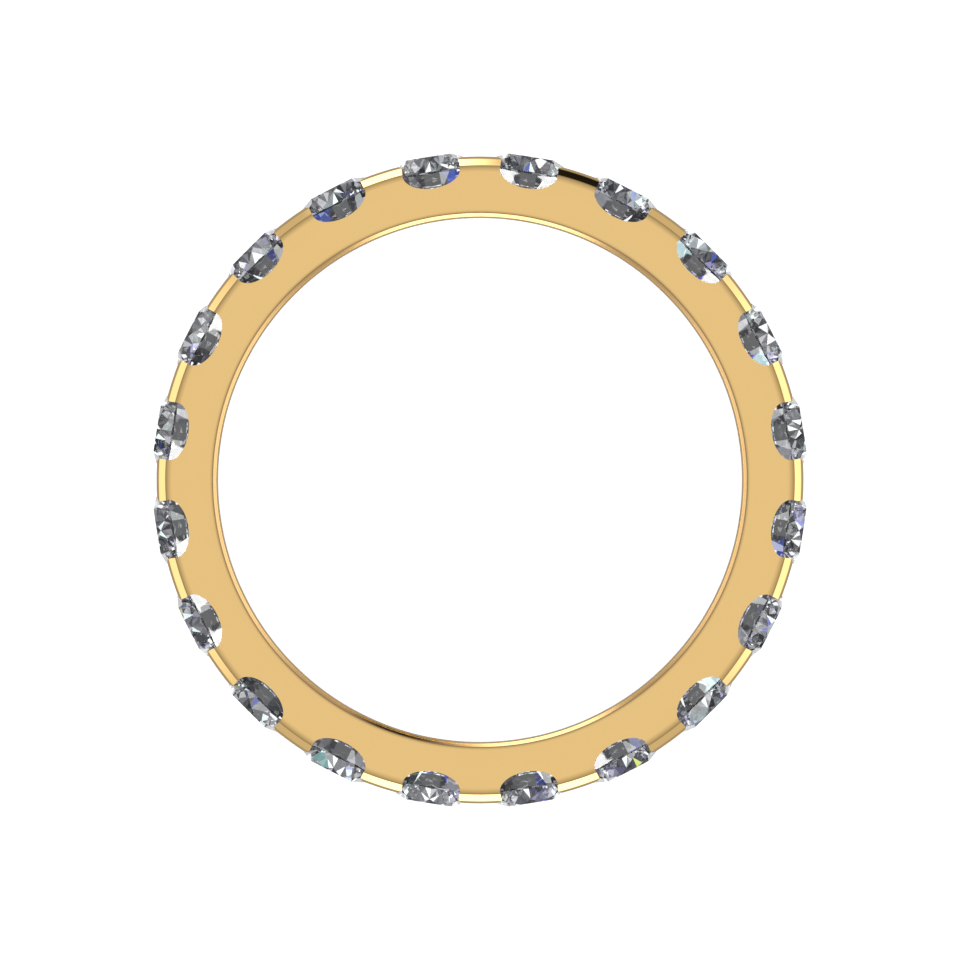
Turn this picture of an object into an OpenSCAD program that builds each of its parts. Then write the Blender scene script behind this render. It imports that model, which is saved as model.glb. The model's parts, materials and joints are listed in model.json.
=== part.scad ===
// Full eternity ring: a one-piece gold band with round brilliants set all the way round.
// The ring lies on its side. Z is the axis of the finger hole, and z = 0 is the surface
// that the outermost edges of the stones rest on.

/* [Band] */
// Inside diameter, where the finger goes
bore_d = 16.9; // [16.6:0.1:20]
// Width of the band along the finger
band_w = 2.5; // [2.2:0.1:3]
// Rounding of the two edges next to the finger
inner_edge_r = 0.25; // [0.1:0.05:0.3]
// Rounding of the two outer edges
outer_edge_r = 0.5; // [0.3:0.05:0.5]

/* [Stones] */
// Number of stones
stone_n = 20; // [14:1:20]
// Diameter of a stone
stone_d = 3; // [2.6:0.05:3.05]
// Width of the table, in percent of the diameter
table_pc = 53; // [50:1:64]
// Slope of the crown's main facets
crown_angle = 34.5; // [32:0.5:36]
// Slope of the pavilion's main facets
pavilion_angle = 40.75; // [40:0.25:42]
// Thickness of the girdle at the tips of the main facets
girdle_t = 0.08; // [0.07:0.01:0.15]
// How far the star facets reach from the table to the girdle, in percent
star_pc = 45; // [40:1:60]
// How far the lower halves reach from the girdle to the culet, in percent
lower_half_pc = 77; // [70:1:80]
// Flats of the girdle beside each half facet
girdle_flats = 3; // [2:1:4]

/* [Setting] */
// How far the tables stand above the gold
table_proud = 0.12; // [0.05:0.01:0.25]
// Height of a stone's point above the finger
culet_h = 0.23; // [0.15:0.01:0.6]
// Gap between a stone and its seat
seat_gap = 0.02; // [0.01:0.005:0.03]
// How far the gold reaches in over the edge of a stone
lip_cover = 0.15; // [0.1:0.01:0.2]
// Diameter of the drain hole under a stone
drain_d = 1; // [0.8:0.1:1.2]
// Width of the notch that opens a seat at the sides of the band
notch_w = 1.87; // [1.6:0.01:2]
// Depth of the notch's oval bottom
notch_depth = 0.52; // [0.45:0.01:0.6]
// Height of the oval's widest line above the foot of the girdle
notch_rise = 0.05; // [0:0.01:0.08]
// Radius of the notch's bottom corners
notch_corner_r = 0.35; // [0.25:0.01:0.38]

/* [Hidden] */
// A brilliant has this many main facets in its crown, and as many in its pavilion
mains_n = 8;
sector = 360 / mains_n;
// How far a cutting shape runs past the gold
past = 0.6;
// Segments of a drawn circle
round_fn = 128;

bore_r = bore_d / 2;
stone_r = stone_d / 2;
table_r = stone_r * table_pc / 100;
crown_h = (stone_r - table_r) * tan(crown_angle);
pavilion_h = stone_r * tan(pavilion_angle);

// Distances from the ring's axis
girdle_at = bore_r + culet_h + pavilion_h;
table_at = girdle_at + girdle_t + crown_h;
band_r = table_at - table_proud;

mid_z = max(stone_d, band_w) / 2;
pitch = 360 / stone_n;

// Star facets meet the crown's halves here, and lower halves meet the pavilion's mains
star_inner_r = table_r * cos(sector / 2);
star_r = star_inner_r + (stone_r - star_inner_r) * star_pc / 100;
star_z = girdle_t + crown_h - (star_r * cos(sector / 2) - table_r) * tan(crown_angle);
lower_r = stone_r * (1 - lower_half_pc / 100);
lower_z = lower_r * cos(sector / 2) * tan(pavilion_angle) - pavilion_h;

// Steepest lines of the crown and the pavilion, which the seat has to clear
crown_steep = (star_z - girdle_t) / (stone_r - star_r);
pavilion_steep = -lower_z / (stone_r - lower_r);

function stone_name(i) = str("stone_", i < 10 ? "0" : "", i);

function polar(r, a, z) = [r * cos(a), r * sin(a), z];

// How far a half facet has fallen away where it meets the girdle, at an angle from a facet's middle line
function half_drop(a) = stone_r * (cos(a) - 1 + tan(sector / 4) * sin(a));

// The angle back to the nearest line where two half facets meet
function from_middle(a) = abs((a + sector / 2) % sector - sector / 2);

// One round brilliant, z = 0 at the foot of its girdle, table up
module brilliant() {
    girdle_n = 2 * girdle_flats * mains_n;
    step = 360 / girdle_n;
    stars_from = mains_n;
    upper_from = 2 * mains_n;
    lower_from = upper_from + girdle_n;
    meets_from = lower_from + girdle_n;
    culet = meets_from + mains_n;

    points = concat(
        [for (k = [0:mains_n - 1]) polar(table_r, (k + 0.5) * sector, girdle_t + crown_h)],
        [for (k = [0:mains_n - 1]) polar(star_r, k * sector, star_z)],
        [for (j = [0:girdle_n - 1])
            polar(stone_r, j * step, girdle_t - crown_steep * half_drop(from_middle(j * step)))],
        [for (j = [0:girdle_n - 1])
            polar(stone_r, j * step, pavilion_steep * half_drop(from_middle(j * step)))],
        [for (k = [0:mains_n - 1]) polar(lower_r, k * sector, lower_z)],
        [[0, 0, -pavilion_h]]
    );

    function corner(k) = (k + mains_n) % mains_n;
    function star(k) = stars_from + (k + mains_n) % mains_n;
    function upper(j) = upper_from + (j + girdle_n) % girdle_n;
    function lower(j) = lower_from + (j + girdle_n) % girdle_n;
    function meet(k) = meets_from + (k + mains_n) % mains_n;
    function middle(k) = 2 * girdle_flats * k;
    function tip(k) = middle(k) + girdle_flats;

    table = [[for (k = [mains_n - 1:-1:0]) corner(k)]];
    stars = [for (k = [0:mains_n - 1]) [star(k), corner(k - 1), corner(k)]];
    kites = [for (k = [0:mains_n - 1]) [corner(k), star(k + 1), upper(tip(k)), star(k)]];
    upper_halves = [for (k = [0:mains_n - 1], side = [0, 1])
        concat([star(k)], [for (j = [0:girdle_flats]) upper(middle(k) + side * girdle_flats - j)])];
    girdle = [for (j = [0:girdle_n - 1]) [upper(j), upper(j + 1), lower(j + 1), lower(j)]];
    lower_halves = [for (k = [0:mains_n - 1], side = [0, 1])
        concat([meet(k)], [for (j = [0:girdle_flats]) lower(middle(k) - side * girdle_flats + j)])];
    mains = [for (k = [0:mains_n - 1]) [culet, meet(k), lower(tip(k)), meet(k + 1)]];

    polyhedron(points, concat(table, stars, kites, upper_halves, girdle, lower_halves, mains));
}

// Puts a child that is modelled on a stone's own axis in its place in the row
module in_place(i) {
    rotate([0, 0, (i - 0.5) * pitch])
        translate([girdle_at, 0, mid_z])
            rotate([0, 90, 0])
                children();
}

module stone(i) {
    color([0.90, 0.94, 0.98])
        in_place(i) brilliant();
}

// Half of the band's section, as distance from the axis and height over the mid-plane
module band_section() {
    half_w = band_w / 2;
    union() {
        translate([bore_r, inner_edge_r - half_w])
            square([inner_edge_r + past / 2, band_w - 2 * inner_edge_r]);
        translate([bore_r + inner_edge_r, -half_w])
            square([band_r - outer_edge_r - bore_r - inner_edge_r, band_w]);
        translate([band_r - outer_edge_r - past / 2, outer_edge_r - half_w])
            square([outer_edge_r + past / 2, band_w - 2 * outer_edge_r]);
        for (side = [-1, 1]) {
            translate([bore_r + inner_edge_r, side * (half_w - inner_edge_r)])
                circle(r = inner_edge_r, $fn = round_fn);
            translate([band_r - outer_edge_r, side * (half_w - outer_edge_r)])
                circle(r = outer_edge_r, $fn = round_fn);
        }
    }
}

// The hollow that one stone drops into, turned round the stone's axis
module seat() {
    drain_r = drain_d / 2;
    wall_r = stone_r + seat_gap;
    cone_r = stone_r + seat_gap / sin(pavilion_angle);
    lip_r = stone_r - lip_cover;
    lip_z = girdle_t + seat_gap + (wall_r - lip_r) * crown_steep;
    bottom_z = bore_r - girdle_at - past;
    top_z = girdle_t + crown_h + past;
    rotate_extrude($fn = round_fn)
        polygon([
            [0, bottom_z],
            [drain_r, bottom_z],
            [drain_r, (drain_r - cone_r) * pavilion_steep],
            [wall_r, (wall_r - cone_r) * pavilion_steep],
            [wall_r, girdle_t + seat_gap],
            [lip_r, lip_z],
            [lip_r, top_z],
            [0, top_z]
        ]);
}

// The notch's outline: straight walls and an oval bottom of three arcs
module notch_outline() {
    half_w = notch_w / 2;
    corner_x = half_w - notch_corner_r;
    bottom_r = (pow(half_w, 2) - 2 * half_w * notch_corner_r + pow(notch_depth, 2))
        / (2 * (notch_depth - notch_corner_r));
    bottom_y = bottom_r - notch_depth;
    join_x = bottom_r * corner_x / (bottom_r - notch_corner_r);
    union() {
        intersection() {
            translate([0, bottom_y])
                circle(r = bottom_r, $fn = round_fn);
            translate([-join_x, -notch_depth - past])
                square([2 * join_x, notch_depth + past]);
        }
        for (side = [-1, 1])
            translate([side * corner_x, 0])
                circle(r = notch_corner_r, $fn = round_fn);
        translate([-half_w, 0])
            square([notch_w, band_r - girdle_at + past]);
    }
}

// Cuts right across the band, so that each seat is open at both sides
module notch() {
    translate([notch_rise, 0, 0])
        rotate([0, 0, -90])
            linear_extrude(band_w + 2 * past, center = true)
                notch_outline();
}

module band() {
    color([0.90, 0.76, 0.50])
        difference() {
            translate([0, 0, mid_z])
                rotate_extrude($fn = round_fn)
                    band_section();
            for (i = [1:stone_n]) {
                in_place(i) seat();
                rotate([0, 0, (i - 0.5) * pitch])
                    translate([girdle_at, 0, mid_z])
                        notch();
            }
        }
}

band();
for (i = [1:stone_n]) {
    stone(i);
}
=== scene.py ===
import json
import math

import bmesh
import bpy
from mathutils import Matrix, Vector


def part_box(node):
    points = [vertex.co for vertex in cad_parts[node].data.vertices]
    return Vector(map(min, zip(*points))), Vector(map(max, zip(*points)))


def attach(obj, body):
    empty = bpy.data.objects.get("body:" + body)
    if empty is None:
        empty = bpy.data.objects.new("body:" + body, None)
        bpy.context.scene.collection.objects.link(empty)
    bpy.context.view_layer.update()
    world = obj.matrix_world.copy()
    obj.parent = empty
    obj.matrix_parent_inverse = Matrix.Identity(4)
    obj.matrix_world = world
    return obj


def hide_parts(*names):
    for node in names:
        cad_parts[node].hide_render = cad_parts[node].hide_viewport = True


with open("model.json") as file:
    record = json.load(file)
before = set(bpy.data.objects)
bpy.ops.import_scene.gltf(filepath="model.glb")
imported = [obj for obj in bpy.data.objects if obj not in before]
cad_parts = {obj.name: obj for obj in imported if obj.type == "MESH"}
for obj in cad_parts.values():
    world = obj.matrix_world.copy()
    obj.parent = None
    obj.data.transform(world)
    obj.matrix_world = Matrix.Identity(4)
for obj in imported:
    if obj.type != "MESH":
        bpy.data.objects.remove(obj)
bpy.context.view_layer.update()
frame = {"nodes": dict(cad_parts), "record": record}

mm = 0.001               # shapes are drawn in millimetres and turned into metres at the end
touching = 1e-4          # millimetres; nearer than this counts as the same place
mergeWithin = 2e-5       # and points nearer than this become one
bounceLimit = 5          # of a ray; more break the stones' facets up into specks

# What the frame says about the ring

mounts = {m["name"]: m for m in frame["record"]["mounts"]}
stoneNames = sorted(n for n in frame["nodes"] if n.startswith("stone_"))
firstStone = frame["nodes"][stoneNames[0]]
bandLow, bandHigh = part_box("band")
stoneLow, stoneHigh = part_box(stoneNames[0])

ring = {
    "boreRadius": mounts["finger_bore"]["dims"]["r_mm"],
    "width": (bandHigh.z - bandLow.z) / mm,
    "middle": (bandHigh.z + bandLow.z) / 2 / mm,
    "stones": len(stoneNames),
    "stoneRadius": (stoneHigh.z - stoneLow.z) / 2 / mm,
    "culetAt": min(v.co.xy.length for v in firstStone.data.vertices) / mm,
}
pitch = 2 * math.pi / ring["stones"]
print("frame loaded:", len(stoneNames), "stones")


# Small helpers for meshes

def meshObject(name, bm, scale=mm):
    bmesh.ops.transform(bm, matrix=Matrix.Scale(scale, 4), verts=bm.verts)
    bmesh.ops.recalc_face_normals(bm, faces=bm.faces)
    mesh = bpy.data.meshes.new(name)
    bm.to_mesh(mesh)
    bm.free()
    obj = bpy.data.objects.new(name, mesh)
    bpy.context.scene.collection.objects.link(obj)
    return obj


def removeObject(obj):
    mesh = obj.data
    bpy.data.objects.remove(obj)
    bpy.data.meshes.remove(mesh)


def bakeModifiers(obj):
    bpy.context.view_layer.update()
    graph = bpy.context.evaluated_depsgraph_get()
    old = obj.data
    obj.data = bpy.data.meshes.new_from_object(
        obj.evaluated_get(graph), preserve_all_data_layers=True, depsgraph=graph)
    obj.modifiers.clear()
    bpy.data.meshes.remove(old)


# Gold band: one stone's share is cut out of a turned blank, then repeated round the ring

band = {
    "outerRadius": 10.417,
    "innerEdge": 0.25,       # rounding next to the finger
    "outerEdge": 0.5,        # rounding on the outside
    "innerEdgeSteps": 14,
    "outerEdgeSteps": 24,
    "turnSteps": 24,         # across one stone's share
    "sharpAngle": 30,        # degrees; flatter edges are shaded round
}

seat = {
    "pavilionAngle": 40.75,
    "pavilionSlope": 0.8812,  # of the steepest line below the girdle
    "crownSlope": 0.8194,     # of the steepest line above it
    "girdle": 0.08,
    "gap": 0.02,
    "lipCover": 0.15,
    "drainRadius": 0.5,
    "turnSteps": 96,
    "past": 0.6,             # how far a cutter runs past the gold
}

notch = {
    "halfWidth": 0.935,
    "depth": 0.52,
    "rise": 0.05,            # of the oval's widest line over the girdle's foot
    "steps": 40,
}

girdleAt = ring["culetAt"] + ring["stoneRadius"] * math.tan(math.radians(seat["pavilionAngle"]))


def bandBlank():
    bm = bmesh.new()
    bmesh.ops.create_grid(bm, x_segments=1, y_segments=1, size=0.5)
    thickness = band["outerRadius"] - ring["boreRadius"]
    place = (Matrix.Translation((ring["boreRadius"] + thickness / 2, 0, ring["middle"]))
             @ Matrix.Rotation(math.radians(90), 4, "X")
             @ Matrix.Diagonal((thickness, ring["width"], 1, 1)))
    bmesh.ops.transform(bm, matrix=place, verts=bm.verts)
    middleRadius = ring["boreRadius"] + thickness / 2
    for name, isOuter in (("innerEdge", False), ("outerEdge", True)):
        bm.verts.ensure_lookup_table()
        corners = [v for v in bm.verts if (v.co.x > middleRadius) == isOuter]
        corners = [v for v in corners if abs(v.co.z - ring["middle"]) > ring["width"] / 2 - touching
                   and min(abs(v.co.x - ring["boreRadius"]), abs(v.co.x - band["outerRadius"])) < touching]
        bmesh.ops.bevel(bm, geom=corners, offset=band[name], segments=band[name + "Steps"],
                        affect="VERTICES", profile=0.5, material=-1)
    bmesh.ops.spin(bm, geom=bm.verts[:] + bm.edges[:] + bm.faces[:], cent=(0, 0, 0), axis=(0, 0, 1),
                   angle=pitch, steps=band["turnSteps"], use_merge=False)
    return meshObject("bandBlank", bm, 1)


def seatCutter():
    slope = seat["pavilionSlope"]
    wall = ring["stoneRadius"] + seat["gap"]
    cone = ring["stoneRadius"] + seat["gap"] / math.sin(math.radians(seat["pavilionAngle"]))
    lip = ring["stoneRadius"] - seat["lipCover"]
    lipFoot = seat["girdle"] + seat["gap"]
    bottom = ring["boreRadius"] - girdleAt - seat["past"]
    top = band["outerRadius"] - girdleAt + seat["past"]
    profile = (          # distance from the stone's axis, height over its girdle's foot
        (0, bottom),
        (seat["drainRadius"], bottom),
        (seat["drainRadius"], (seat["drainRadius"] - cone) * slope),
        (wall, (wall - cone) * slope),
        (wall, lipFoot),
        (lip, lipFoot + (wall - lip) * seat["crownSlope"]),
        (lip, top),
        (0, top),
    )
    bm = bmesh.new()
    points = [bm.verts.new((girdleAt + height, 0, ring["middle"] + away)) for away, height in profile]
    for a, b in zip(points, points[1:]):
        bm.edges.new((a, b))
    bmesh.ops.spin(bm, geom=bm.verts[:] + bm.edges[:], cent=(0, 0, ring["middle"]), axis=(1, 0, 0),
                   angle=2 * math.pi, steps=seat["turnSteps"], use_merge=True)
    bmesh.ops.remove_doubles(bm, verts=bm.verts, dist=mergeWithin)
    bmesh.ops.rotate(bm, verts=bm.verts, cent=(0, 0, 0), matrix=Matrix.Rotation(pitch / 2, 3, "Z"))
    return meshObject("seatCutter", bm, 1)


def notchCutter():
    bm = bmesh.new()
    side = bm.verts.new((0, -1, 0))
    bmesh.ops.spin(bm, geom=[side], cent=(0, 0, 0), axis=(0, 0, -1), angle=math.pi, steps=notch["steps"])
    bmesh.ops.scale(bm, vec=(notch["depth"], notch["halfWidth"], 1), verts=bm.verts)
    top = band["outerRadius"] - girdleAt - notch["rise"] + seat["past"]
    ends = [v for v in bm.verts if len(v.link_edges) == 1]
    raised = [bm.verts.new((top, v.co.y, 0)) for v in ends]
    for a, b in zip(ends, raised):
        bm.edges.new((a, b))
    bm.edges.new(raised)
    bmesh.ops.contextual_create(bm, geom=bm.edges[:])
    half = ring["width"] / 2 + seat["past"]
    bmesh.ops.translate(bm, vec=(girdleAt + notch["rise"], 0, ring["middle"] - half), verts=bm.verts)
    grown = bmesh.ops.extrude_face_region(bm, geom=bm.faces[:])
    lifted = [g for g in grown["geom"] if isinstance(g, bmesh.types.BMVert)]
    bmesh.ops.translate(bm, vec=(0, 0, 2 * half), verts=lifted)
    bmesh.ops.rotate(bm, verts=bm.verts, cent=(0, 0, 0), matrix=Matrix.Rotation(pitch / 2, 3, "Z"))
    return meshObject("notchCutter", bm, 1)


def makeBand():
    share = bandBlank()
    cutters = [seatCutter(), notchCutter()]
    for cutter in cutters:
        cut = share.modifiers.new("cut", "BOOLEAN")
        cut.operation = "DIFFERENCE"
        cut.solver = "EXACT"
        cut.object = cutter
    bakeModifiers(share)
    for cutter in cutters:
        removeObject(cutter)

    bm = bmesh.new()
    bm.from_mesh(share.data)
    removeObject(share)
    endNormals = (Vector((0, 1, 0)), Vector((-math.sin(pitch), math.cos(pitch), 0)))
    ends = [f for f in bm.faces
            if any(all(abs(v.co.dot(n)) < mergeWithin for v in f.verts) for n in endNormals)]
    bmesh.ops.delete(bm, geom=ends, context="FACES")
    bmesh.ops.spin(bm, geom=bm.verts[:] + bm.edges[:] + bm.faces[:], cent=(0, 0, 0), axis=(0, 0, 1),
                   angle=2 * math.pi - pitch, steps=ring["stones"] - 1, use_duplicate=True)
    bmesh.ops.remove_doubles(bm, verts=bm.verts, dist=mergeWithin)
    openEdges = sum(1 for e in bm.edges if not e.is_manifold)
    obj = meshObject("goldBand", bm)
    obj.data.shade_smooth()
    obj.data.set_sharp_from_angle(angle=math.radians(band["sharpAngle"]))
    weigh = obj.modifiers.new("normals", "WEIGHTED_NORMAL")
    weigh.keep_sharp = True
    weigh.weight = 50
    bakeModifiers(obj)
    print("band:", len(obj.data.polygons), "faces,", openEdges, "open edges")
    return obj


goldBand = makeBand()
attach(goldBand, "root")
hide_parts("band")


# Small helpers for nodes

black = (0, 0, 0, 1)
white = (1, 1, 1, 1)


def newMaterial(name):
    material = bpy.data.materials.new(name)
    material.use_nodes = True
    tree = material.node_tree
    shader = next(n for n in tree.nodes if n.type == "BSDF_PRINCIPLED")
    return material, tree, shader


def addNode(tree, kind, **values):
    node = tree.nodes.new(kind)
    for key, value in values.items():
        setattr(node, key, value)
    return node


def wire(tree, value, socket):       # a plain value, or another node's output
    if isinstance(value, bpy.types.NodeSocket):
        tree.links.new(value, socket)
    elif value is not None:
        socket.default_value = value


def setInputs(tree, node, **values):
    for key, value in values.items():
        wire(tree, value, node.inputs[key.replace("_", " ")])
    return node


def mathNode(tree, operation, *values):
    node = addNode(tree, "ShaderNodeMath", operation=operation)
    for value, socket in zip(values, node.inputs):
        wire(tree, value, socket)
    return node.outputs[0]


def allOf(tree, *masks):
    whole = masks[0]
    for mask in masks[1:]:
        whole = mathNode(tree, "MULTIPLY", whole, mask)
    return whole


def rampNode(tree, value, low, high, toLow=0.0, toHigh=1.0, smooth=True):
    node = addNode(tree, "ShaderNodeMapRange", interpolation_type="SMOOTHSTEP" if smooth else "LINEAR")
    setInputs(tree, node, Value=value, From_Min=low, From_Max=high, To_Min=toLow, To_Max=toHigh)
    return node.outputs["Result"]


def colorRampNode(tree, value, stops, interpolation="LINEAR"):
    node = addNode(tree, "ShaderNodeValToRGB")
    node.color_ramp.interpolation = interpolation
    elements = node.color_ramp.elements
    while len(elements) > 1:
        elements.remove(elements[-1])
    for index, (position, color) in enumerate(stops):
        element = elements[0] if index == 0 else elements.new(position)
        element.position = position
        element.color = color if hasattr(color, "__len__") else (color, color, color, 1)
    wire(tree, value, node.inputs["Fac"])
    return node.outputs["Color"]


def pickNode(tree, chance, choices):     # one colour of a list of shares and colours
    stops, total = [], 0.0
    for share, color in choices:
        stops.append((total, color))
        total += share
    return colorRampNode(tree, chance, stops, "CONSTANT")


def mixColors(tree, factor, a, b, blend="MIX"):
    node = addNode(tree, "ShaderNodeMix", data_type="RGBA", blend_type=blend)
    for key, value in ((0, factor), (6, a), (7, b)):
        wire(tree, value, node.inputs[key])
    return node.outputs[2]


def noiseNode(tree, vector, scale, detail=2.0, roughness=0.5):
    node = addNode(tree, "ShaderNodeTexNoise")
    setInputs(tree, node, Vector=vector, Scale=scale, Detail=detail, Roughness=roughness)
    return node.outputs["Fac"]


def randomCells(tree, vector, scale, further=None):      # random values, each the same all over a cell
    cells = addNode(tree, "ShaderNodeTexVoronoi", voronoi_dimensions="3D" if further is None else "4D")
    setInputs(tree, cells, Vector=vector, Scale=scale)
    if further is not None:
        wire(tree, further, cells.inputs["W"])
    chance = addNode(tree, "ShaderNodeSeparateColor")
    wire(tree, cells.outputs["Color"], chance.inputs[0])
    return chance.outputs


def joined(tree, x, y, z):
    node = addNode(tree, "ShaderNodeCombineXYZ")
    for value, socket in zip((x, y, z), node.inputs):
        wire(tree, value, socket)
    return node.outputs[0]


def newGroup(name, inputs, outputs):
    tree = bpy.data.node_groups.new(name, "ShaderNodeTree")
    for label, kind, value in inputs:
        socket = tree.interface.new_socket(name=label, in_out="INPUT", socket_type=kind)
        if value is not None:
            socket.default_value = value
    for label, kind in outputs:
        tree.interface.new_socket(name=label, in_out="OUTPUT", socket_type=kind)
    return tree, addNode(tree, "NodeGroupInput").outputs, addNode(tree, "NodeGroupOutput").inputs


def placeGroup(tree, group, **values):
    return setInputs(tree, addNode(tree, "ShaderNodeGroup", node_tree=group), **values).outputs


# Effects that the materials share

def stoneFrameGroup():
    # where a point is beside its nearest stone, in millimetres
    tree, given, result = newGroup("stoneFrame", [("Vector", "NodeSocketVector", None)], [
        ("Height", "NodeSocketFloat"), ("Away", "NodeSocketFloat"), ("Around", "NodeSocketFloat"),
        ("Number", "NodeSocketFloat"), ("Radius", "NodeSocketFloat"), ("Side", "NodeSocketFloat"),
        ("Turn", "NodeSocketFloat"), ("Across", "NodeSocketFloat")])
    split = addNode(tree, "ShaderNodeSeparateXYZ")
    wire(tree, given["Vector"], split.inputs[0])
    x, y, z = (mathNode(tree, "MULTIPLY", v, 1 / mm) for v in split.outputs)
    radius = mathNode(tree, "SQRT", mathNode(tree, "ADD", mathNode(tree, "MULTIPLY", x, x),
                                             mathNode(tree, "MULTIPLY", y, y)))
    turn = mathNode(tree, "ARCTAN2", y, x)
    steps = mathNode(tree, "DIVIDE", turn, pitch)
    fromStone = mathNode(tree, "MULTIPLY",
                         mathNode(tree, "SUBTRACT", mathNode(tree, "FRACT", steps), 0.5), pitch)
    across = mathNode(tree, "MULTIPLY", radius, mathNode(tree, "SINE", fromStone))
    side = mathNode(tree, "SUBTRACT", z, ring["middle"])
    height = mathNode(tree, "SUBTRACT",
                      mathNode(tree, "MULTIPLY", radius, mathNode(tree, "COSINE", fromStone)), girdleAt)
    away = mathNode(tree, "SQRT", mathNode(tree, "ADD", mathNode(tree, "MULTIPLY", across, across),
                                           mathNode(tree, "MULTIPLY", side, side)))
    for label, value in (("Height", height), ("Away", away),
                         ("Around", mathNode(tree, "ARCTAN2", side, across)),
                         ("Number", mathNode(tree, "FLOOR", steps)), ("Radius", radius),
                         ("Side", side), ("Turn", turn), ("Across", across)):
        wire(tree, value, result[label])
    return tree


def fineMarksGroup():
    # long fine marks that run one way, and soft cloudy smudges
    tree, given, result = newGroup("fineMarks", [
        ("Along", "NodeSocketFloat", 0.0), ("Across", "NodeSocketFloat", 0.0),
        ("Depth", "NodeSocketFloat", 0.0), ("Stretch", "NodeSocketFloat", 1.0),
        ("Fineness", "NodeSocketFloat", 30.0), ("Cloud Size", "NodeSocketFloat", 1.5)],
        [("Marks", "NodeSocketFloat"), ("Clouds", "NodeSocketFloat")])
    drawn = joined(tree, mathNode(tree, "DIVIDE", given["Along"], given["Stretch"]),
                   given["Across"], given["Depth"])
    marks = noiseNode(tree, drawn, given["Fineness"], 3.0, 0.62)
    plainSpace = joined(tree, given["Along"], given["Across"], given["Depth"])
    clouds = noiseNode(tree, plainSpace, mathNode(tree, "DIVIDE", 1.0, given["Cloud Size"]), 2.0)
    wire(tree, marks, result["Marks"])
    wire(tree, clouds, result["Clouds"])
    return tree


stoneFrame = stoneFrameGroup()
fineMarks = fineMarksGroup()


# Gold: bright polish, finest along the ring, a little duller inside and on the worn rims, with a painted
# shade line on the inner rounding and painted light patches that only the stones see

gold = {
    "color": (0.957, 0.648, 0.266, 1),
    "warmer": (0.957, 0.640, 0.258, 1),
    "cloudSize": 1.6,
    "noiseRange": (0.3, 0.7),            # of the clouds and marks that counts, from none to full
    "innerRimShade": (0.66, 0.43, 0.20, 1),   # painted shade: a darker line on the rounding next to the finger
    "innerRimFrom": (0.03, 0.11),        # how far from the hole's wall it comes in
    "innerRimTo": (0.15, 0.19),          # and goes out
    "innerRimSoft": 0.02,                # how softly it starts beside the inner wall
    "roughness": 0.055,
    "roughnessSpread": (0.8, 1.2),       # by the fine marks
    "insideRoughness": 0.18,
    "insideFrom": 0.05,                  # how far from the hole's wall it starts to fade
    "wornRoughness": 0.10,
    "wornTo": 0.1,                       # how far under the outside the wear is full
    "markDepth": 0.05,
    "markHeight": 0.002,      # millimetres
    "markFineness": 26.0,     # marks in a millimetre
    "markStretch": 14.0,
    "mirrored": (             # painted light, glowing only for the stones: what they mirror of their seats' ends: share of the ends, colour
        (0.30, (0.15, 0.15, 0.16, 1)),
        (0.15, (0.42, 0.42, 0.45, 1)),
        (0.07, (0.30, 0.42, 1.50, 1)),
        (0.07, (2.5, 3.4, 3.5, 1)),
        (0.06, (1.2, 1.2, 1.3, 1)),
        (0.35, (4.6, 4.6, 4.6, 1)),
    ),
    "paintedMiddleLight": (0.28, 0.28, 0.29, 1),
    "middleHalf": (0.45, 0.55),          # from a seat's middle to where its end begins
    "seatFoot": 0.3,                     # how far from the hole's wall the ends begin
}


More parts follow.
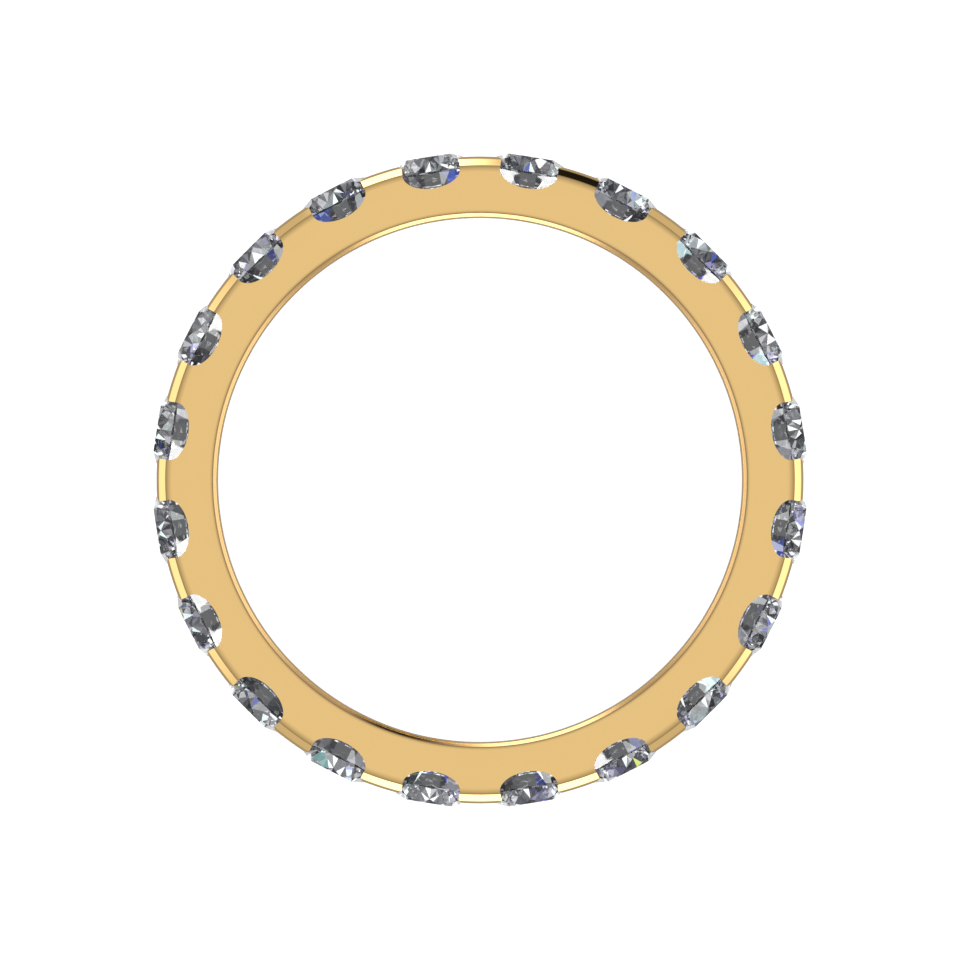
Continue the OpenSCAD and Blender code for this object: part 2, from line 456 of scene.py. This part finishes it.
def goldMaterial():
    material, tree, shader = newMaterial("yellowGold")
    place = addNode(tree, "ShaderNodeTexCoord").outputs["Object"]
    near = placeGroup(tree, stoneFrame, Vector=place)
    along = mathNode(tree, "MULTIPLY", near["Turn"], band["outerRadius"])
    marks = placeGroup(tree, fineMarks, Along=along, Across=near["Radius"], Depth=near["Side"],
                       Stretch=gold["markStretch"], Fineness=gold["markFineness"],
                       Cloud_Size=gold["cloudSize"])

    fromWall = mathNode(tree, "SUBTRACT", near["Radius"], ring["boreRadius"])
    inside = rampNode(tree, fromWall, gold["insideFrom"], band["innerEdge"], 1, 0)
    rim = rampNode(tree, near["Radius"], band["outerRadius"] - band["outerEdge"],
                   band["outerRadius"] - gold["wornTo"])
    worn = mathNode(tree, "MULTIPLY", rim, marks["Clouds"])

    roughness = mathNode(tree, "ADD", gold["roughness"],
                         mathNode(tree, "MULTIPLY", worn, gold["wornRoughness"] - gold["roughness"]))
    roughness = mathNode(tree, "ADD", roughness,
                         mathNode(tree, "MULTIPLY", inside, gold["insideRoughness"] - gold["roughness"]))
    spread = rampNode(tree, marks["Marks"], *gold["noiseRange"], *gold["roughnessSpread"])
    roughness = mathNode(tree, "MULTIPLY", roughness, spread)
    tone = mixColors(tree, rampNode(tree, marks["Clouds"], *gold["noiseRange"]),
                     gold["color"], gold["warmer"])
    # painted shade: a darker line on the rounding next to the finger
    roundingFrom = ring["width"] / 2 - band["innerEdge"]
    onRounding = rampNode(tree, mathNode(tree, "ABSOLUTE", near["Side"]), roundingFrom,
                          roundingFrom + gold["innerRimSoft"])
    atRimShade = allOf(tree, rampNode(tree, fromWall, *gold["innerRimFrom"]),
                  rampNode(tree, fromWall, *gold["innerRimTo"], 1, 0), onRounding)
    tone = mixColors(tree, atRimShade, tone, gold["innerRimShade"])

    # painted light: to the stones, whose rays alone are perfectly sharp, the gold is black and glows with
    # plain patches instead
    sharp = addNode(tree, "ShaderNodeLightPath").outputs["Is Singular Ray"]
    end = addNode(tree, "ShaderNodeTexWhiteNoise", noise_dimensions="2D")
    whichEnd = joined(tree, near["Number"], mathNode(tree, "SIGN", near["Across"]), 0.0)
    wire(tree, whichEnd, end.inputs["Vector"])
    atEnd = allOf(tree, rampNode(tree, mathNode(tree, "ABSOLUTE", near["Across"]), *gold["middleHalf"]),
                  mathNode(tree, "GREATER_THAN", fromWall, gold["seatFoot"]),
                  mathNode(tree, "LESS_THAN", near["Height"], 0.0))
    patch = mixColors(tree, atEnd, gold["paintedMiddleLight"],
                      pickNode(tree, end.outputs["Value"], gold["mirrored"]))
    color = mixColors(tree, sharp, tone, black)
    glow = mixColors(tree, sharp, black, patch)
    roughness = mathNode(tree, "MAXIMUM", roughness, sharp)

    bump = setInputs(tree, addNode(tree, "ShaderNodeBump"), Strength=gold["markDepth"],
                     Distance=gold["markHeight"] * mm, Height=marks["Marks"])
    setInputs(tree, shader, Base_Color=color, Metallic=1.0, Roughness=roughness,
              Emission_Color=glow, Emission_Strength=1.0, Normal=bump.outputs["Normal"])
    material.cycles.emission_sampling = "NONE"
    return material


# Diamond: clear, each stone a shade apart, with faint painted fire and fine lines on the girdle

diamond = {
    "refraction": 2.417,
    "clear": (0.985, 0.99, 1.0, 1),
    "paintedFireTints": (                # painted fire, faint coloured tints standing in for colour flashes: share of the cells, colour
        (0.55, (1.00, 1.00, 1.00, 1)),
        (0.23, (0.96, 0.975, 1.00, 1)),
        (0.10, (0.93, 0.925, 1.00, 1)),
        (0.06, (1.00, 0.99, 0.93, 1)),
        (0.06, (0.92, 1.00, 0.99, 1)),
    ),
    "cellSize": 0.55,
    "cellShift": 3.7,         # keeps one stone's cells unlike the next one's
    # the girdle's dark grey is partly its ground look and partly painted shade seen through it
    "girdleColor": (0.20, 0.205, 0.22, 1),
    "girdleEdge": (0.009, 0.0045),       # how far inside the stone's edge the girdle's look begins
    "girdleLines": 38.0,
    "girdleStretch": 8.0,
    "girdleDepth": 0.08,
    "girdleHeight": 0.004,
    "lateLight": (            # painted light the facets glow with for rays cut by the bounce limit: share of the facets, colour
        (0.34, (0.05, 0.05, 0.055, 1)),
        (0.30, (0.22, 0.22, 0.23, 1)),
        (0.22, (0.55, 0.56, 0.58, 1)),
        (0.14, (1.20, 1.22, 1.25, 1)),
    ),
    "lateBelow": -0.005,      # only under this height over the girdle's foot
    "facetStep": 0.047,       # how finely facets are told apart by the way they face
}


def diamondMaterial():
    material, tree, shader = newMaterial("diamond")
    place = addNode(tree, "ShaderNodeTexCoord").outputs["Object"]
    near = placeGroup(tree, stoneFrame, Vector=place)
    girdle = rampNode(tree, near["Away"], *(ring["stoneRadius"] - inset for inset in diamond["girdleEdge"]))

    # painted fire: faint coloured tints, cell by cell, unlike from stone to stone
    local = joined(tree, near["Across"], near["Side"], near["Height"])
    cells = randomCells(tree, local, 1 / diamond["cellSize"],
                        mathNode(tree, "MULTIPLY", near["Number"], diamond["cellShift"]))
    paintedFireTint = pickNode(tree, cells[0], diamond["paintedFireTints"])
    body = mixColors(tree, 1.0, paintedFireTint, diamond["clear"], "MULTIPLY")
    # the girdle: partly its ground grey, partly painted shade
    color = mixColors(tree, girdle, body, diamond["girdleColor"])

    ground = placeGroup(tree, fineMarks, Along=near["Height"], Across=near["Around"],
                        Depth=near["Number"], Stretch=diamond["girdleStretch"],
                        Fineness=diamond["girdleLines"], Cloud_Size=1.0)
    bump = setInputs(tree, addNode(tree, "ShaderNodeBump"), Strength=diamond["girdleDepth"],
                     Distance=diamond["girdleHeight"] * mm,
                     Height=mathNode(tree, "MULTIPLY", ground["Marks"], girdle))

    # painted light: under the girdle, on the floor's side of the ring, the facets glow for cut rays, one
    # shade a facet
    facing = addNode(tree, "ShaderNodeVectorMath", operation="SNAP")
    wire(tree, addNode(tree, "ShaderNodeNewGeometry").outputs["True Normal"], facing.inputs[0])
    facing.inputs[1].default_value = (diamond["facetStep"],) * 3
    shade = addNode(tree, "ShaderNodeTexWhiteNoise", noise_dimensions="4D")
    setInputs(tree, shade, Vector=facing.outputs[0], W=near["Number"])
    depth = addNode(tree, "ShaderNodeLightPath").outputs["Ray Depth"]
    late = allOf(tree, mathNode(tree, "GREATER_THAN", depth, bounceLimit - 0.5),
                 mathNode(tree, "LESS_THAN", near["Height"], diamond["lateBelow"]),
                 mathNode(tree, "LESS_THAN", near["Side"], 0.0))
    glow = mixColors(tree, late, black, pickNode(tree, shade.outputs["Value"], diamond["lateLight"]))

    setInputs(tree, shader, Base_Color=color, Metallic=0.0, Roughness=0.0, IOR=diamond["refraction"],
              Transmission_Weight=1.0, Emission_Color=glow, Emission_Strength=1.0,
              Normal=bump.outputs["Normal"])
    material.cycles.emission_sampling = "NONE"
    return material


goldBand.data.materials.clear()
goldBand.data.materials.append(goldMaterial())
goldBand.visible_transmission = False    # the stones stay clear and colourless over their seats
brilliant = diamondMaterial()
for name in stoneNames:
    frame["nodes"][name].data.materials[0] = brilliant
print("materials made")


# Studio: pale floor, soft light from every side

floor = {
    "size": 4.0,
    "color": (0.90, 0.90, 0.90, 1),
    "roughness": 0.9,
    "glow": 0.8,
    "cards": (10.7, 11.6),   # pale places that only the stones mirror: how far from the ring's middle
    "cardBeside": 1.15,      # and, beside the nearest stone, from that stone's middle
    "cardColor": (1.75, 1.75, 1.75, 1),  # times the glow
}


def makeFloor():
    bm = bmesh.new()
    bmesh.ops.create_grid(bm, x_segments=1, y_segments=1, size=floor["size"] / 2)
    obj = meshObject("floor", bm, 1)
    material, tree, shader = newMaterial("paleFloor")
    place = addNode(tree, "ShaderNodeTexCoord").outputs["Object"]
    near = placeGroup(tree, stoneFrame, Vector=place)
    path = addNode(tree, "ShaderNodeLightPath").outputs
    cardStart, cardEnd = floor["cards"]
    beside = mathNode(tree, "ABSOLUTE", near["Across"])
    onCard = allOf(tree, mathNode(tree, "GREATER_THAN", near["Radius"], cardStart),
                   mathNode(tree, "LESS_THAN", near["Radius"], cardEnd),
                   mathNode(tree, "GREATER_THAN", beside, floor["cardBeside"]), path["Is Singular Ray"])
    # what mirrors the floor sees the studio's lower half through it, and the stones see their cards too
    mirrored = path["Is Glossy Ray"]
    shown = mathNode(tree, "MAXIMUM", mathNode(tree, "SUBTRACT", 1.0, mirrored), onCard)
    setInputs(tree, shader, Base_Color=mixColors(tree, mirrored, floor["color"], black),
              Emission_Color=mixColors(tree, mirrored, white, floor["cardColor"]),
              Emission_Strength=floor["glow"], Roughness=floor["roughness"], Alpha=shown)
    material.cycles.emission_sampling = "NONE"
    obj.data.materials.append(material)
    obj.visible_transmission = False


studio = {
    "overhead": ((0, 0.835), (3, 0.83), (25, 0.635), (40, 0.465), (50, 0.33)),   # degrees down, level
    "boxTop": (50.5, 53.5),  # where the side lights begin
    "boxFoot": (108, 122),   # and where they end
    "below": 0.42,
    "corner": 0.65,          # between the side lights
    "boxes": (               # azimuth, half width, level, degrees over which it fades
        (0, 40, 1.62, 22),
        (104, 14, 3.0, 12),
        (180, 38, 1.36, 24),
        (270, 24, 3.1, 16),
    ),
    "flag": (72, 9, 0.02, 8),
}

# What the stones throw back: a room of bright and dark patches, and a few small coloured lights
sparkle = {
    "patchSize": (26, 15),    # degrees round and up, about
    "strength": 1.5,
    "patches": (              # share of the patches, colour
        (0.29, (0.024, 0.025, 0.028, 1)),
        (0.25, (0.065, 0.066, 0.072, 1)),
        (0.16, (0.18, 0.18, 0.19, 1)),
        (0.09, (0.45, 0.45, 0.47, 1)),
        (0.15, (1.0, 1.0, 1.0, 1)),
        (0.01, (0.05, 0.08, 0.42, 1)),
        (0.02, (0.28, 0.26, 0.48, 1)),
        (0.03, (0.86, 0.99, 1.0, 1)),
    ),
    "lights": (               # share of the lights, colour
        (0.30, (0.06, 0.10, 0.75, 1)),
        (0.28, (0.42, 0.40, 0.75, 1)),
        (0.24, (0.45, 0.95, 0.90, 1)),
        (0.18, (0.72, 0.78, 0.16, 1)),
    ),
    "lightScale": 7.0,
    "lightShare": 0.016,
    "head": (12, 20, 0.10),   # a dark patch straight up: degrees down over which it fades, level
    "foot": (171, 174, 0.085),  # and one straight down, under the ring
    "belt": (149, 157, 0.4),  # a darker belt low down, where the patches keep this share of their light
}


def makeWorld():
    world = bpy.data.worlds.new("studio")
    bpy.context.scene.world = world
    world.use_nodes = True
    tree = world.node_tree
    background = next(n for n in tree.nodes if n.type == "BACKGROUND")

    where = addNode(tree, "ShaderNodeTexCoord").outputs["Generated"]
    split = addNode(tree, "ShaderNodeSeparateXYZ")
    wire(tree, where, split.inputs[0])
    x, y, z = split.outputs
    azimuth = mathNode(tree, "DEGREES", mathNode(tree, "ARCTAN2", y, x))
    down = mathNode(tree, "DEGREES", mathNode(tree, "ARCCOSINE", z))

    def besideAzimuth(centre, half, soft):
        turned = mathNode(tree, "SUBTRACT", azimuth, centre)
        away = mathNode(tree, "ABSOLUTE", mathNode(tree, "WRAP", turned, 180, -180))
        return rampNode(tree, away, half - soft / 2, half + soft / 2, 1, 0)

    sides = studio["corner"]
    for centre, half, level, soft in studio["boxes"]:
        sides = mathNode(tree, "MULTIPLY_ADD", besideAzimuth(centre, half, soft),
                         level - studio["corner"], sides)
    centre, half, level, soft = studio["flag"]
    sides = mathNode(tree, "MULTIPLY", sides,
                     rampNode(tree, besideAzimuth(centre, half, soft), 0, 1, 1, level, False))
    overhead = colorRampNode(tree, mathNode(tree, "DIVIDE", down, 180),
                             [(angle / 180, level) for angle, level in studio["overhead"]])
    isSide = rampNode(tree, down, *studio["boxTop"])
    isBelow = rampNode(tree, down, *studio["boxFoot"])
    soft = mixColors(tree, isSide, overhead, sides)
    soft = mixColors(tree, isBelow, soft, (studio["below"],) * 3 + (1,))

    wide, high = sparkle["patchSize"]
    unrolled = joined(tree, mathNode(tree, "DIVIDE", azimuth, wide),
                      mathNode(tree, "DIVIDE", down, high), 0.0)
    patches = pickNode(tree, randomCells(tree, unrolled, 1.0)[0], sparkle["patches"])
    small = randomCells(tree, where, sparkle["lightScale"])
    lit = mathNode(tree, "LESS_THAN", small[0], sparkle["lightShare"])
    patches = mixColors(tree, lit, patches, pickNode(tree, small[1], sparkle["lights"]))
    for name in ("head", "foot"):
        start, end, level = sparkle[name]
        ends = (1, 0) if name == "head" else (0, 1)
        inside = rampNode(tree, down, start, end, *ends)
        patches = mixColors(tree, inside, patches, (level,) * 3 + (1,))
    start, end, share = sparkle["belt"]
    inBelt = mathNode(tree, "MULTIPLY", mathNode(tree, "GREATER_THAN", down, start),
                      mathNode(tree, "LESS_THAN", down, end))
    strength = rampNode(tree, inBelt, 0, 1, sparkle["strength"], sparkle["strength"] * share)
    patches = mixColors(tree, 1.0, patches, strength, "MULTIPLY")

    path = addNode(tree, "ShaderNodeLightPath")
    color = mixColors(tree, path.outputs["Is Singular Ray"], soft, patches)
    color = mixColors(tree, path.outputs["Is Camera Ray"], color, white)
    wire(tree, color, background.inputs["Color"])


makeFloor()
makeWorld()
print("studio made")


# Camera: straight down the finger hole, as in the photograph

camera = {
    "distance": 0.8,
    "halfView": 15.47,       # millimetres of the ring's plane from the middle of the picture to its edge
    "sensor": 36,
}


def makeCamera():
    data = bpy.data.cameras.new("camera")
    obj = bpy.data.objects.new("camera", data)
    bpy.context.scene.collection.objects.link(obj)
    obj.location = (0, 0, ring["middle"] * mm + camera["distance"])
    data.sensor_width = camera["sensor"]
    data.lens = camera["sensor"] / 2 * camera["distance"] / (camera["halfView"] * mm)
    data.clip_start = 0.01
    data.clip_end = 10
    bpy.context.scene.camera = obj


makeCamera()

scene = bpy.context.scene
scene.view_settings.view_transform = "Standard"
scene.cycles.max_bounces = bounceLimit
scene.cycles.transmission_bounces = bounceLimit
scene.cycles.glossy_bounces = bounceLimit
scene.cycles.caustics_reflective = False     # keeps the floor free of gold light
scene.cycles.caustics_refractive = False
